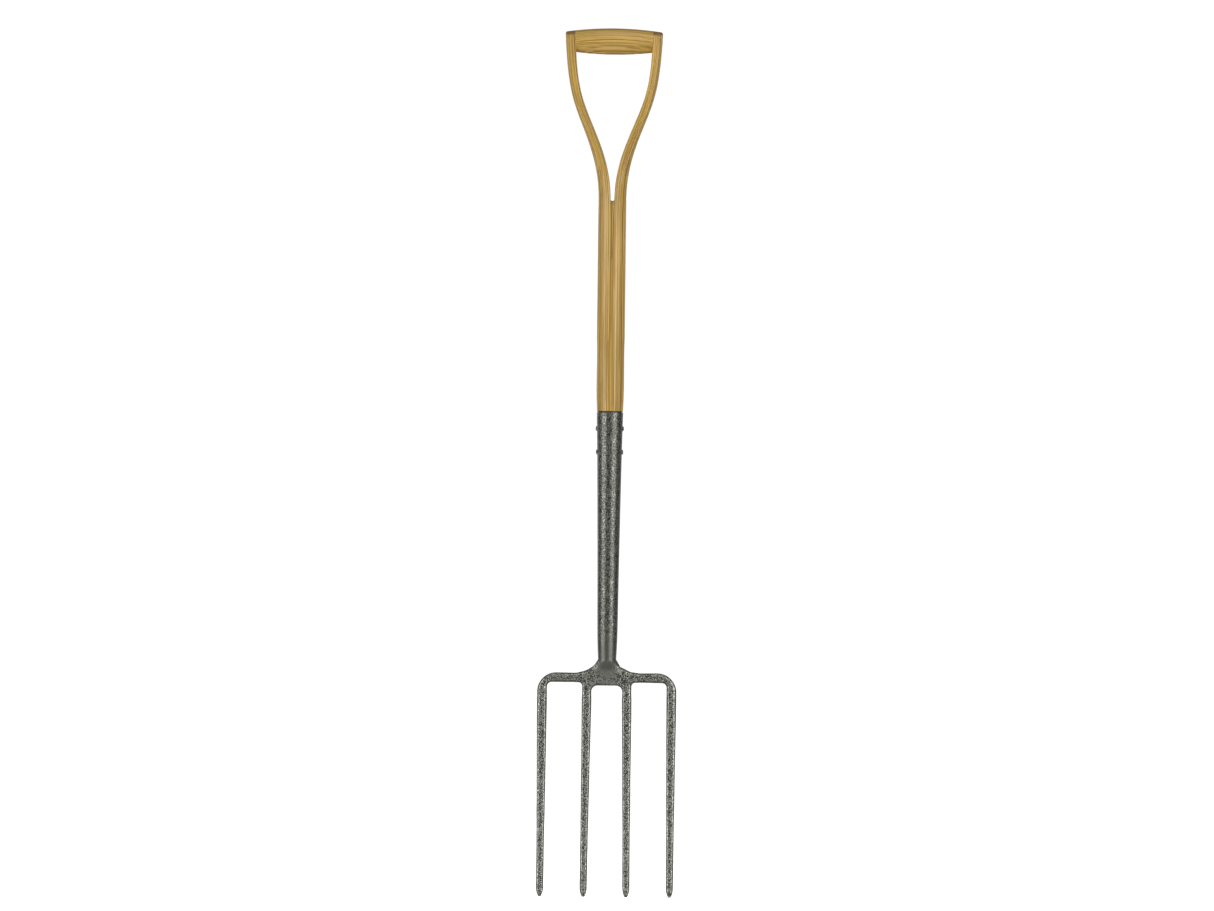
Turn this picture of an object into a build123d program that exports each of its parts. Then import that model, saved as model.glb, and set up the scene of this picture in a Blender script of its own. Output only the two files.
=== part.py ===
"""Digging fork: a forged four-tine steel head, welded to a tapered steel socket that is riveted
to an ash shaft. The top of the shaft is sawn down the middle and bent out into a Y, and a barrel
grip is held across the Y by a long rivet.

Units are millimetres. +Z is up the shaft and +X to the right. -Y is the front, the way the tines
curve. The origin is on the shaft's axis at the level of the tine points.
Writes parts/NODE.step, one file for each separate piece.
"""

from build123d import *
import math
import os

# ---------------------------------------------------------------- driving dimensions
OVERALL_HEIGHT = 1120.0

# Ash shaft
SHAFT_R = 18.0
TAPER_START_Z = 720.0  # the shaft is a plain cylinder above this
SHAFT_SWELL = [(17.35, 636.0), (17.75, 656.0)]  # radius and height, between shoulder and taper
SHOULDER_R = 16.8  # at the socket's mouth
SHOULDER_CHAMFER = 1.1
SHOULDER_LIFT = 0.2  # of the shoulder above the socket's rim
TENON_LENGTH = 200.0  # inside the socket
FIT_GAP = 0.05  # radial, between wood and steel

# Steel socket
SOCKET_TOP_Z = 624.0
SOCKET_BOTTOM_Z = 306.0
SOCKET_MOUTH_R = 17.1
SOCKET_MOUTH_ROUNDING = 0.6
SOCKET_MIDDLE_R = 15.0
SOCKET_MIDDLE_Z = 511.0
SOCKET_FOOT = (12.8, 330.0)  # radius and height
SOCKET_WALL = 2.2
SOCKET_WAIST_Z = 372.0
SOCKET_WAIST_R = 13.4
NECK_R = 11.8
BORE_END_Z = 345.0

# Socket rivets, which run from side to side
RIVET_DROPS = {"upper_socket_rivet": 21.0, "lower_socket_rivet": 51.3}  # below the mouth
RIVET_SHANK_R = 2.4
RIVET_HEAD_R = 3.3
RIVET_HEAD_HEIGHT = 1.45
RIVET_HEAD_ROOT = 2.0  # the head is made this much too deep, then cut back to the socket's wall
DOME_SHARES = (0.78, 0.33)  # where a domed head rounds over: share of its radius, of its height
DRILL_REACH = 70.0  # half the length of a hole drilled right through

# Y of the handle: half widths across the arms, from the throat to the top
THROAT_Z = 898.0
SLOT_START_Z = 817.0
SLOT_HALF_START = 0.5
SLOT_HALF_THROAT = 2.25
WEDGE_HOLLOW_R = 3.15  # of the hollow top of the wedge, about an axis just above the throat
WEDGE_HOLLOW_LIFT = 2.0
THROAT_STEP = 0.1  # the arms start this much inside the round shaft
ARM_OUTSIDE = [(SHAFT_R - THROAT_STEP, THROAT_Z), (22.8, 942.6), (35.9, 984.0), (51.3, 1025.3),
               (59.5, 1066.6), (62.3, 1097.7), (63.2, 1125.0)]
ARM_INSIDE = [(SLOT_HALF_THROAT + THROAT_STEP, THROAT_Z), (7.7, 942.6), (21.8, 984.0), (38.3, 1025.3),
              (47.0, 1066.6), (49.4, 1097.7), (50.6, 1125.0)]
ARM_SQUARENESS = 4.0  # exponent of the rounded-square section
GRIP_SIDE_SQUARENESS = 9.0  # of the arms' inner corners beside the grip
GRIP_SIDE_Z = (1050.0, 1095.0)  # the inner corners change over this height
ROUND_TO_SQUARE_LENGTH = 75.0
ARM_NARROWING = 1.15  # how early the arms reach their full depth: 1 is at the top
ARM_DEPTH_SHARE = 0.985  # of the grip's barrel, so that the barrel stands a little proud
SECTION_STEPS = 16
ARM_STATIONS = 10

# Grip, a barrel along X
GRIP_R = 17.0
GRIP_END_R = 12.5
GRIP_END_X = 62.0
GRIP_REACH = 0.8  # the scribed ends run this far past the arms' inner faces
ARM_TOP_CORNER_R = 3.0
ARM_TOP_CORNER_X = 60.0
GRIP_Z = OVERALL_HEIGHT - GRIP_R
GRIP_STOCK = (200.0, 60.0, 50.0)  # block that covers everything above the grip's axis
GRIP_TENON_R = 8.0
GRIP_TENON_DEPTH = 7.0

# Grip rivet, with a washer let into the outside of each arm
GRIP_RIVET_R = 2.5
WASHER_R = 7.0
WASHER_THICKNESS = 1.2
WASHER_RECESS = 2.6
RIVET_CROWN_R = 4.6
RIVET_CROWN_HEIGHT = 1.2

# Head
BAR_Z = 281.0  # centre of the shoulder bars
BAR_SIZE = 12.6
BAR_CORNER_R = 4.0
HEAD_SETBACK = 3.0  # the crosshead sits this far behind the shaft's axis
OUTER_TINE_X = 83.6
INNER_TINE_ROOT_X = 25.9
INNER_TINE_TIP_X = 27.5
INNER_TINE_SIZE = 11.8
SHOULDER_OUTER_R = 24.5
SHOULDER_INNER_R = 6.0
ARMPIT_R = 5.0  # between a shoulder bar and an inner tine
ARCH_R = 8.0  # between the two inner tines
ARCH_Z = 270.8
OUTER_JOINT_X = 41.0  # where the shoulder bars are welded to the crosshead
TINE_TOP_Z = 262.0  # the tines' curve starts here, and the inner tines are welded on here
TINE_END_LEAN = 24.0  # degrees forward at the point
TINE_TIP_WIDTH = 8.3
TINE_TIP_DEPTH = 6.6
TINE_CORNER_R = 2.0
POINT_LENGTH = 13.0
POINT_SIZE = 2.6
LEG_STATIONS = 7
OUTER_EASING = 60.0  # length over which the bar's rounded corners become the tine's
INNER_EASING = 40.0
SPIGOT_R = 9.2
SPIGOT_LENGTH = 32.0
# Flare from the neck out into the shoulder bars
FLARE_SLOPE = 5.0
FLARE_SWEEP = 26.0
FLARE_SQUARENESS = 2.3
FLARE_STATIONS = 6
FLARE_SHARE = 0.97  # the formula is followed this far down, to where it turns level
HUB_HALF_DEPTH = 7.0  # where the flare meets the shoulder bars
FLARE_FOOT = [(281.0, 32.0, 6.1)]  # height, half width, half depth

SIDES = {"left": -1, "right": 1}


# ---------------------------------------------------------------- small helpers
def smooth(t):
    """Smooth step from 0 to 1."""
    t = min(max(t, 0.0), 1.0)
    return t * t * (3 - 2 * t)


def mix(a, b, t):
    return a + (b - a) * t


def signed_power(value, power):
    return math.copysign(abs(value) ** power, value)


def turned(points, axis):
    """Solid of revolution of a closed outline: the points are (radius, height), and a list of
    points among them is a spline through those points."""
    with BuildPart() as part:
        with BuildSketch(Plane.XZ):
            with BuildLine():
                end = None
                for piece in points + [points[0]]:
                    first, last = (piece[0], piece[-1]) if isinstance(piece, list) else (piece, piece)
                    if end is not None and end != first:
                        Line(end, first)
                    if isinstance(piece, list) and end != last:
                        Spline(*piece)
                    end = last
            make_face()
        revolve(axis=axis)
    return part.part


def rod(radius, start, end):
    """Round bar between two points."""
    way = Vector(*end) - Vector(*start)
    return Plane(origin=start, z_dir=way) * extrude(Circle(radius), way.length)


def cross_hole(shank_r, z):
    """Clearance hole from side to side for a rivet's shank."""
    return rod(shank_r + FIT_GAP, (-DRILL_REACH, 0, z), (DRILL_REACH, 0, z))


def domed_head(radius, root_x, face_x, height):
    """Outline of half a domed head, as (radius, distance along its axis)."""
    edge_r, edge_drop = DOME_SHARES[0] * radius, DOME_SHARES[1] * height
    crown = [(radius, face_x), (edge_r, face_x + height - edge_drop), (0, face_x + height)]
    return [(0, root_x), (radius, root_x), crown] if root_x < face_x else [(0, root_x), crown]


# ---------------------------------------------------------------- socket and its rivets
def socket_outline():
    """Outside of the socket from its mouth down to the neck, as (radius, height)."""
    return [(SOCKET_MOUTH_R, SOCKET_TOP_Z), (SOCKET_MIDDLE_R, SOCKET_MIDDLE_Z),
            (SOCKET_WAIST_R, SOCKET_WAIST_Z), SOCKET_FOOT, (NECK_R, SOCKET_BOTTOM_Z)]


def socket_bore_r(z):
    """Radius of the socket's straight conical bore at a height."""
    top = SOCKET_MOUTH_R - SOCKET_WALL
    waist = SOCKET_WAIST_R - SOCKET_WALL
    return mix(waist, top, (z - SOCKET_WAIST_Z) / (SOCKET_TOP_Z - SOCKET_WAIST_Z))


def make_socket_blank():
    """The socket with no bore, for trimming the rivet heads to its surface."""
    return turned([(0, SOCKET_TOP_Z), socket_outline(), (0, SOCKET_BOTTOM_Z)], Axis.Z)


def make_socket():
    bore = turned([(0, SOCKET_TOP_Z), (socket_bore_r(SOCKET_TOP_Z), SOCKET_TOP_Z),
                   (socket_bore_r(BORE_END_Z), BORE_END_Z), (0, BORE_END_Z)], Axis.Z)
    spigot_hole = rod(SPIGOT_R, (0, 0, SOCKET_BOTTOM_Z), (0, 0, BORE_END_Z))
    socket = make_socket_blank() - bore - spigot_hole
    mouth = socket.edges().filter_by(GeomType.CIRCLE).sort_by(Axis.Z)[-2:]
    socket = fillet(mouth, SOCKET_MOUTH_ROUNDING)
    for drop in RIVET_DROPS.values():
        socket -= cross_hole(RIVET_SHANK_R, SOCKET_TOP_Z - drop)
    return socket


def make_socket_rivet(drop):
    """Through rivet with a domed head at each side, seated on the socket's curved wall."""
    z = SOCKET_TOP_Z - drop
    seat_x = mix(SOCKET_MOUTH_R, SOCKET_MIDDLE_R, drop / (SOCKET_TOP_Z - SOCKET_MIDDLE_Z))
    dome = turned(domed_head(RIVET_HEAD_R, seat_x - RIVET_HEAD_ROOT, seat_x, RIVET_HEAD_HEIGHT),
                  Axis.Z)
    heads = [Pos(0, 0, z) * Rot(0, 90 * side, 0) * dome for side in SIDES.values()]
    seats = heads[0] + heads[1] - make_socket_blank()
    return seats + rod(RIVET_SHANK_R, (-seat_x, 0, z), (seat_x, 0, z))


# ---------------------------------------------------------------- wood
def make_shaft_body():
    """The round part of the shaft, with the tapered tenon that goes into the socket."""
    tenon_z = SOCKET_TOP_Z - TENON_LENGTH
    shoulder_z = SOCKET_TOP_Z + SHOULDER_LIFT
    return turned([(0, tenon_z), (socket_bore_r(tenon_z) - FIT_GAP - 1, tenon_z),
                   (socket_bore_r(tenon_z) - FIT_GAP, tenon_z + 2),
                   (socket_bore_r(shoulder_z) - FIT_GAP, shoulder_z),
                   (SHOULDER_R - SHOULDER_CHAMFER, shoulder_z),
                   [(SHOULDER_R, shoulder_z + SHOULDER_CHAMFER)] + SHAFT_SWELL
                   + [(SHAFT_R, TAPER_START_Z)],
                   (SHAFT_R, THROAT_Z), (0, THROAT_Z)], Axis.Z)


def make_slot():
    """Tapered saw slot down the middle of the shaft below the throat, which the wedge fills."""
    outline = Polyline((-SLOT_HALF_START, SLOT_START_Z), (-SLOT_HALF_THROAT, THROAT_Z),
                       (SLOT_HALF_THROAT, THROAT_Z), (SLOT_HALF_START, SLOT_START_Z), close=True)
    return extrude(Plane.XZ * make_face(outline), SHAFT_R * 2, both=True)


def arm_curve(points):
    return Spline(*[(x, z) for x, z in points], tangents=[(0, 1), (0.03, 1)])


def width_at(curve, z):
    """X of a rising curve at a height, by halving."""
    low, high = 0.0, 1.0
    for _ in range(40):
        middle = (low + high) / 2
        if (curve @ middle).Y < z:
            low = middle
        else:
            high = middle
    return (curve @ low).X


def barrel_r(x):
    """Radius of the grip's barrel, which the arms' tops continue."""
    return GRIP_R - (GRIP_R - GRIP_END_R) * (x / GRIP_END_X) ** 2


def arm_section(outside, inside, z, side):
    """Level section of one arm: half of the round shaft at the throat, changing to a rounded
    rectangle further up. The two edges are the outer and the inner half of the outline."""
    x_out, x_in = width_at(outside, z), width_at(inside, z)
    square = smooth((z - THROAT_Z) / ROUND_TO_SQUARE_LENGTH)
    rise = smooth(ARM_NARROWING * (z - THROAT_Z) / (OVERALL_HEIGHT - THROAT_Z))
    half_depth = mix(SHAFT_R - THROAT_STEP, ARM_DEPTH_SHARE * barrel_r(x_in), rise)
    corner = math.acos(x_in / x_out) if square < 1 else math.pi / 2
    beside_grip = smooth((z - GRIP_SIDE_Z[0]) / (GRIP_SIDE_Z[1] - GRIP_SIDE_Z[0]))
    inner_squareness = mix(ARM_SQUARENESS, GRIP_SIDE_SQUARENESS, beside_grip)

    def point(turn):
        outer_half = math.cos(turn) >= -1e-9
        power = 2 / (ARM_SQUARENESS if outer_half else inner_squareness)
        full_x = (x_in + x_out) / 2 + (x_out - x_in) / 2 * signed_power(math.cos(turn), power)
        narrowing = mix(1.0, barrel_r(full_x) / barrel_r(x_in), rise)
        full_y = half_depth * narrowing * signed_power(math.sin(turn), power)
        if outer_half:
            half_x = mix(x_in, x_out, (math.cos(turn * corner / (math.pi / 2)) - math.cos(corner))
                         / (1 - math.cos(corner)))
            half_y = half_depth * math.sin(turn * corner / (math.pi / 2))
        else:
            half_x, half_y = x_in, half_depth * math.sin(corner) * math.sin(turn)
        return (side * mix(half_x, full_x, square), mix(half_y, full_y, square), z)

    shares = [i / SECTION_STEPS for i in range(SECTION_STEPS + 1)]
    outer = [point(mix(-math.pi / 2, math.pi / 2, share)) for share in shares]
    inner = [point(mix(math.pi / 2, 1.5 * math.pi, share)) for share in shares]
    inner[0], inner[-1] = outer[-1], outer[0]
    return Face(Wire([Edge.make_spline(outer), Edge.make_spline(inner)]))


def make_barrel(reach, corner_r=0.0):
    """The grip's barrel along X from -reach to reach about the grip's axis, its ends square or
    finished with a rounded corner."""
    end_r = barrel_r(reach)
    with BuildPart() as part:
        with BuildSketch(Plane.XZ):
            with BuildLine():
                ThreePointArc((-reach, end_r), (0, GRIP_R), (reach, end_r))
                if corner_r:
                    for side in SIDES.values():
                        CenterArc((side * reach, end_r - corner_r), corner_r, 90, -90 * side)
                tip_x, tip_r = reach + corner_r, end_r - corner_r
                Polyline((tip_x, tip_r), (tip_x, 0), (-tip_x, 0), (-tip_x, tip_r))
            make_face()
        revolve(axis=Axis.X)
    return Pos(0, 0, GRIP_Z) * part.part


def make_arm(side):
    outside, inside = arm_curve(ARM_OUTSIDE), arm_curve(ARM_INSIDE)
    top = ARM_OUTSIDE[-1][1]
    heights = [mix(THROAT_Z, top, i / ARM_STATIONS) for i in range(ARM_STATIONS + 1)]
    arm = loft([arm_section(outside, inside, z, side) for z in heights])
    above = Pos(0, 0, GRIP_Z + GRIP_STOCK[2] / 2) * Box(*GRIP_STOCK)
    return arm - (above - make_barrel(ARM_TOP_CORNER_X, ARM_TOP_CORNER_R))


def arm_outside_x(z):
    return width_at(arm_curve(ARM_OUTSIDE), z)


def make_bare_shaft():
    """Shaft and arms before the grip's mortises are bored."""
    return make_shaft_body() - make_slot() + make_arm(-1) + make_arm(1)


def make_shaft(bare):
    shaft = bare
    inside_x = width_at(arm_curve(ARM_INSIDE), GRIP_Z)
    outside_x = arm_outside_x(GRIP_Z)
    for side in SIDES.values():
        shaft -= rod(GRIP_TENON_R, (0, 0, GRIP_Z), (side * (inside_x + GRIP_TENON_DEPTH), 0, GRIP_Z))
        shaft -= rod(WASHER_R + FIT_GAP, (side * (outside_x - WASHER_RECESS), 0, GRIP_Z),
                     (side * DRILL_REACH, 0, GRIP_Z))
    shaft -= cross_hole(GRIP_RIVET_R, GRIP_Z)
    for drop in RIVET_DROPS.values():
        shaft -= cross_hole(RIVET_SHANK_R, SOCKET_TOP_Z - drop)
    return shaft


def make_throat_wedge():
    """Glued wedge in the saw slot, with a hollow top that forms the bottom of the throat."""
    wedge = make_slot() & rod(SHAFT_R, (0, 0, 0), (0, 0, THROAT_Z))
    axis_z = THROAT_Z + WEDGE_HOLLOW_LIFT
    return wedge - rod(WEDGE_HOLLOW_R, (0, -SHAFT_R, axis_z), (0, SHAFT_R, axis_z))


def make_grip(bare):
    """Barrel grip, scribed to the insides of the arms, with a round tenon at each end."""
    inside_x = width_at(arm_curve(ARM_INSIDE), GRIP_Z)
    grip = (make_barrel(inside_x + GRIP_REACH) - bare).solids().sort_by(SortBy.VOLUME)[-1]
    tenon_x = inside_x + GRIP_TENON_DEPTH
    grip += rod(GRIP_TENON_R - FIT_GAP, (-tenon_x, 0, GRIP_Z), (tenon_x, 0, GRIP_Z))
    return grip - cross_hole(GRIP_RIVET_R, GRIP_Z)


def make_grip_washer(side):
    floor_x = arm_outside_x(GRIP_Z) - WASHER_RECESS
    start, end = (side * floor_x, 0, GRIP_Z), (side * (floor_x + WASHER_THICKNESS), 0, GRIP_Z)
    washer = rod(WASHER_R, start, end) - rod(GRIP_RIVET_R + FIT_GAP, start, end)
    return washer


def make_grip_rivet():
    """Long rivet through the grip and both arms, its ends peened into low domes on the washers."""
    face_x = arm_outside_x(GRIP_Z) - WASHER_RECESS + WASHER_THICKNESS
    dome = turned(domed_head(RIVET_CROWN_R, face_x, face_x, RIVET_CROWN_HEIGHT), Axis.Z)
    heads = [Pos(0, 0, GRIP_Z) * Rot(0, 90 * side, 0) * dome for side in SIDES.values()]
    return rod(GRIP_RIVET_R, (-face_x, 0, GRIP_Z), (face_x, 0, GRIP_Z)) + heads[0] + heads[1]


# ---------------------------------------------------------------- forged head
def tine_bend_r():
    """Radius of the tines' forward curve, which starts upright."""
    return TINE_TOP_Z / math.sin(math.radians(TINE_END_LEAN))


def tine_plane(x, lean):
    """Plane square to a tine where its centreline leans forward by an angle, in degrees."""
    turn, bend = math.radians(lean), tine_bend_r()
    centre = (x, HEAD_SETBACK - bend * (1 - math.cos(turn)), TINE_TOP_Z - bend * math.sin(turn))
    return Plane(origin=centre, x_dir=(1, 0, 0), z_dir=(0, -math.sin(turn), -math.cos(turn)))


def make_leg(root_x, tip_x, root_size, easing):
    """One tapering leg of a tine, from its top down to its blunt point."""
    end = TINE_END_LEAN
    point_lean = math.degrees(POINT_LENGTH / tine_bend_r())
    sections = []
    for i in range(LEG_STATIONS + 1):
        share = i / LEG_STATIONS
        lean = (end - point_lean) * share
        down = math.radians(lean) * tine_bend_r()
        corner = mix(BAR_CORNER_R, TINE_CORNER_R, smooth(down / easing))
        face = RectangleRounded(mix(root_size, TINE_TIP_WIDTH, share),
                                mix(BAR_SIZE, TINE_TIP_DEPTH, share), corner)
        sections.append(tine_plane(mix(root_x, tip_x, share), lean) * face)
    leg = loft(sections)
    ends = [(0.0, 1.0), (0.55, 0.8), (1.0, POINT_SIZE / TINE_TIP_WIDTH)]
    point = loft([tine_plane(tip_x, end - point_lean * (1 - t)) * RectangleRounded(
        TINE_TIP_WIDTH * k, TINE_TIP_DEPTH * k, TINE_CORNER_R * k) for t, k in ends])
    return leg + point


def thick_plate(outline_face, end_tests):
    """Plate as thick as the shoulder bars from its front outline, its long edges rounded. Edges
    that meet one of the end tests stay square, since another piece is welded on there."""
    plate = extrude(outline_face, BAR_SIZE / 2, both=True)
    front_and_back = [edge for edge in plate.edges()
                      if abs(abs(edge.center().Y - HEAD_SETBACK) - BAR_SIZE / 2) < 1e-6]
    long_edges = [edge for edge in front_and_back
                  if not any(test(edge.center()) for test in end_tests)]
    return fillet(long_edges, BAR_CORNER_R)


def make_outer_tine(side):
    """Outer tine and its shoulder bar: one square bar, bent at the shoulder and drawn to a point."""
    half_bar = BAR_SIZE / 2
    top, under = BAR_Z + half_bar, BAR_Z - half_bar
    out_x, in_x = OUTER_TINE_X + half_bar, OUTER_TINE_X - half_bar
    with BuildSketch(Plane.XZ.offset(-HEAD_SETBACK)) as front:
        with BuildLine():
            Line((OUTER_JOINT_X, top), (out_x - SHOULDER_OUTER_R, top))
            CenterArc((out_x - SHOULDER_OUTER_R, top - SHOULDER_OUTER_R), SHOULDER_OUTER_R, 0, 90)
            Polyline((out_x, top - SHOULDER_OUTER_R), (out_x, TINE_TOP_Z), (in_x, TINE_TOP_Z),
                     (in_x, under - SHOULDER_INNER_R))
            CenterArc((in_x - SHOULDER_INNER_R, under - SHOULDER_INNER_R), SHOULDER_INNER_R, 0, 90)
            Polyline((in_x - SHOULDER_INNER_R, under), (OUTER_JOINT_X, under), (OUTER_JOINT_X, top))
        make_face()
    shoulder = thick_plate(front.sketch, [lambda c: abs(c.X - OUTER_JOINT_X) < 1e-6,
                                          lambda c: abs(c.Z - TINE_TOP_Z) < 1e-6])
    tine = shoulder + make_leg(OUTER_TINE_X, OUTER_TINE_X, BAR_SIZE, OUTER_EASING)
    return tine if side > 0 else mirror(tine, Plane.YZ)


def make_inner_tine(side):
    tine = make_leg(INNER_TINE_ROOT_X, INNER_TINE_TIP_X, INNER_TINE_SIZE, INNER_EASING)
    return tine if side > 0 else mirror(tine, Plane.YZ)


def make_yoke():
    """The crosshead without its neck: a stub for each shoulder bar and each inner tine."""
    half_bar, half_tine = BAR_SIZE / 2, INNER_TINE_SIZE / 2
    top, under = BAR_Z + half_bar, BAR_Z - half_bar
    out_x, in_x = INNER_TINE_ROOT_X + half_tine, INNER_TINE_ROOT_X - half_tine
    with BuildSketch(Plane.XZ.offset(-HEAD_SETBACK)) as front:
        with BuildLine():
            Polyline((0, top), (OUTER_JOINT_X, top), (OUTER_JOINT_X, under), (out_x + ARMPIT_R, under))
            CenterArc((out_x + ARMPIT_R, under - ARMPIT_R), ARMPIT_R, 90, 90)
            Polyline((out_x, under - ARMPIT_R), (out_x, TINE_TOP_Z), (in_x, TINE_TOP_Z),
                     (in_x, ARCH_Z - ARCH_R))
            CenterArc((in_x - ARCH_R, ARCH_Z - ARCH_R), ARCH_R, 0, 90)
            Polyline((in_x - ARCH_R, ARCH_Z), (0, ARCH_Z), (0, top))
        half = make_face()
        mirror(half, about=Plane.YZ)
    return thick_plate(front.sketch, [lambda c: abs(abs(c.X) - OUTER_JOINT_X) < 1e-6,
                                      lambda c: abs(c.Z - TINE_TOP_Z) < 1e-6])


def flare_section(z, half_width, half_depth, back, squareness):
    """Level rounded section of the flare."""
    points = []
    for i in range(24):
        turn = math.radians(15 * i)
        points.append((half_width * signed_power(math.cos(turn), 2 / squareness),
                       back + half_depth * signed_power(math.sin(turn), 2 / squareness), z))
    return Face(Wire([Edge.make_spline(points, periodic=True)]))


def make_flare():
    """Round at the neck, widening to the sides and thinning from front to back as it goes down,
    and ending inside the yoke."""
    drop = SOCKET_BOTTOM_Z - BAR_Z - BAR_SIZE / 2
    sections = []
    for i in range(FLARE_STATIONS + 1):
        t = FLARE_SHARE * i / FLARE_STATIONS
        half_width = NECK_R + FLARE_SLOPE * t + FLARE_SWEEP * (1 - math.sqrt(1 - t * t))
        sections.append(flare_section(SOCKET_BOTTOM_Z - drop * t, half_width,
                                      mix(NECK_R, HUB_HALF_DEPTH, smooth(t)),
                                      HEAD_SETBACK * smooth(t), mix(2.0, FLARE_SQUARENESS, t)))
    for z, half_width, half_depth in FLARE_FOOT:
        sections.append(flare_section(z, half_width, half_depth, HEAD_SETBACK, FLARE_SQUARENESS))
    return loft(sections)


def make_crosshead():
    """The forging in the middle of the head: the yoke, the flare up to the neck, and a spigot
    that is welded into the bottom of the socket."""
    spigot = rod(SPIGOT_R - FIT_GAP, (0, 0, SOCKET_BOTTOM_Z - 4),
                 (0, 0, SOCKET_BOTTOM_Z + SPIGOT_LENGTH))
    return make_yoke() + make_flare() + spigot


def write(name, shape):
    """Writes one piece as parts/NAME.step."""
    export_step(shape, os.path.join("parts", name + ".step"))


def main():
    os.makedirs("parts", exist_ok=True)
    bare_shaft = make_bare_shaft()
    write("shaft", make_shaft(bare_shaft))
    write("throat_wedge", make_throat_wedge())
    write("grip", make_grip(bare_shaft))
    write("grip_rivet", make_grip_rivet())
    write("socket", make_socket())
    write("crosshead", make_crosshead())
    for name, drop in RIVET_DROPS.items():
        write(name, make_socket_rivet(drop))
    for name, side in SIDES.items():
        write(name + "_grip_washer", make_grip_washer(side))
        write(name + "_outer_tine", make_outer_tine(side))
        write(name + "_inner_tine", make_inner_tine(side))


main()
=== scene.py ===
"""Looks of the digging fork: varnished ash, hammered paint on the forged head, soft studio light.

Metres throughout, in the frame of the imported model: +Z up the shaft, -Y the front.
"""
import math

import bmesh
import bpy
import numpy as np
from mathutils import Matrix, Vector, noise


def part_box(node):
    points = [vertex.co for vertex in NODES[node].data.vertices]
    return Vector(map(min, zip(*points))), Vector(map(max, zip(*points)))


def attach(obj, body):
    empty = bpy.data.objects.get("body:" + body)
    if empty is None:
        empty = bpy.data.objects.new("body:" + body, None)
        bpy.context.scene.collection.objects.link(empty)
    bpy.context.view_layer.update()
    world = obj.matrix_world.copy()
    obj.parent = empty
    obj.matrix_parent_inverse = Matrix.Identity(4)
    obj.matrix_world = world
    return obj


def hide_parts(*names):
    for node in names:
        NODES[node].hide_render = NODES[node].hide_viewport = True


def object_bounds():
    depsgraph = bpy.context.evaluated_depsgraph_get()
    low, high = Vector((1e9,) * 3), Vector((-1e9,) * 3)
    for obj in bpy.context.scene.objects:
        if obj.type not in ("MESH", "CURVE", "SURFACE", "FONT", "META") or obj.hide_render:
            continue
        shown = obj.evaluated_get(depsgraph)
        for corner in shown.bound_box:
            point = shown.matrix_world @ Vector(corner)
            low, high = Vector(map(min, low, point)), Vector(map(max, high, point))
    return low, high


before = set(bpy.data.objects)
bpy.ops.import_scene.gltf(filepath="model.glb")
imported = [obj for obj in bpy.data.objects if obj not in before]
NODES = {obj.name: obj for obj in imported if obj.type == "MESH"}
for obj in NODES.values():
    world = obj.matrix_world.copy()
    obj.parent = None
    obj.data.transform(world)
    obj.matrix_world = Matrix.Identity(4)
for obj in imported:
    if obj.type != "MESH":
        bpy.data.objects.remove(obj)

CAD_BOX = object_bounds()
MM = 0.001


# ---------------------------------------------------------------- small helpers
def smooth(t):
    t = np.clip(t, 0.0, 1.0)
    return t * t * (3 - 2 * t)


def coordinates(mesh):
    flat = np.empty(len(mesh.vertices) * 3, np.float32)
    mesh.vertices.foreach_get("co", flat)
    return flat.reshape(-1, 3).astype(float)


def set_coordinates(mesh, points):
    mesh.vertices.foreach_set("co", points.astype(np.float32).ravel())
    mesh.update()


def normals(mesh):
    flat = np.empty(len(mesh.vertices) * 3, np.float32)
    mesh.vertex_normals.foreach_get("vector", flat)
    return flat.reshape(-1, 3).astype(float)


def new_piece(name, mesh, slot, *nodes):
    """A visual piece that stands for one or more CAD nodes."""
    piece = bpy.data.objects.new(name, mesh)
    bpy.context.scene.collection.objects.link(piece)
    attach(piece, "root")
    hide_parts(*nodes)
    return piece


# ---------------------------------------------------------------- the forged steel head
CROSSHEAD_LOW, CROSSHEAD_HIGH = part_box("crosshead")
OUTER_SEAM_X = CROSSHEAD_HIGH.x
INNER_SEAM_Z = CROSSHEAD_LOW.z
SOCKET_SEAM_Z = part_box("socket")[0].z
SHOULDER_TOP_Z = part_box("left_outer_tine")[1].z
TINES = ("left_outer_tine", "left_inner_tine", "right_inner_tine", "right_outer_tine")

# Bars of the tines: width, middle lines, and half of the crowned width at the root and the point.
BAR_WIDTH = 12.6 * MM
OUTER_MIDDLE_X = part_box("right_outer_tine")[1].x - BAR_WIDTH / 2
BAR_MIDDLE_Z = SHOULDER_TOP_Z - BAR_WIDTH / 2
BAR_END_X = 68 * MM
INNER_MIDDLE_X = 25.9 * MM
INNER_TIP_X = 27.5 * MM
BAR_HALF = 6.2 * MM
TIP_HALF = 4.2 * MM

# The continuous skin: size and smoothing of its faces, and how far the tines run into the crosshead.
HEAD_DETAIL = 0.55 * MM
EASE_PASSES = 3
WELD = 0.002 * MM
SEAM_LAP = 3 * MM
SEAM_SHRINK = 0.96
NEAR = 0.02 * MM


def overlapping_tine(name):
    """A copy of a tine whose top end runs a little way into the crosshead."""
    mesh = NODES[name].data.copy()
    points = coordinates(mesh)
    outer = "outer" in name
    if outer:
        end = abs(points[:, 0]) < OUTER_SEAM_X + NEAR
    else:
        end = points[:, 2] > INNER_SEAM_Z - NEAR
    middle = points[end].mean(0)
    points[end] = middle + SEAM_SHRINK * (points[end] - middle)
    if outer:
        points[end, 0] = math.copysign(OUTER_SEAM_X - SEAM_LAP, middle[0])
    else:
        points[end, 2] = INNER_SEAM_Z + SEAM_LAP
    set_coordinates(mesh, points)
    return mesh


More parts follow.
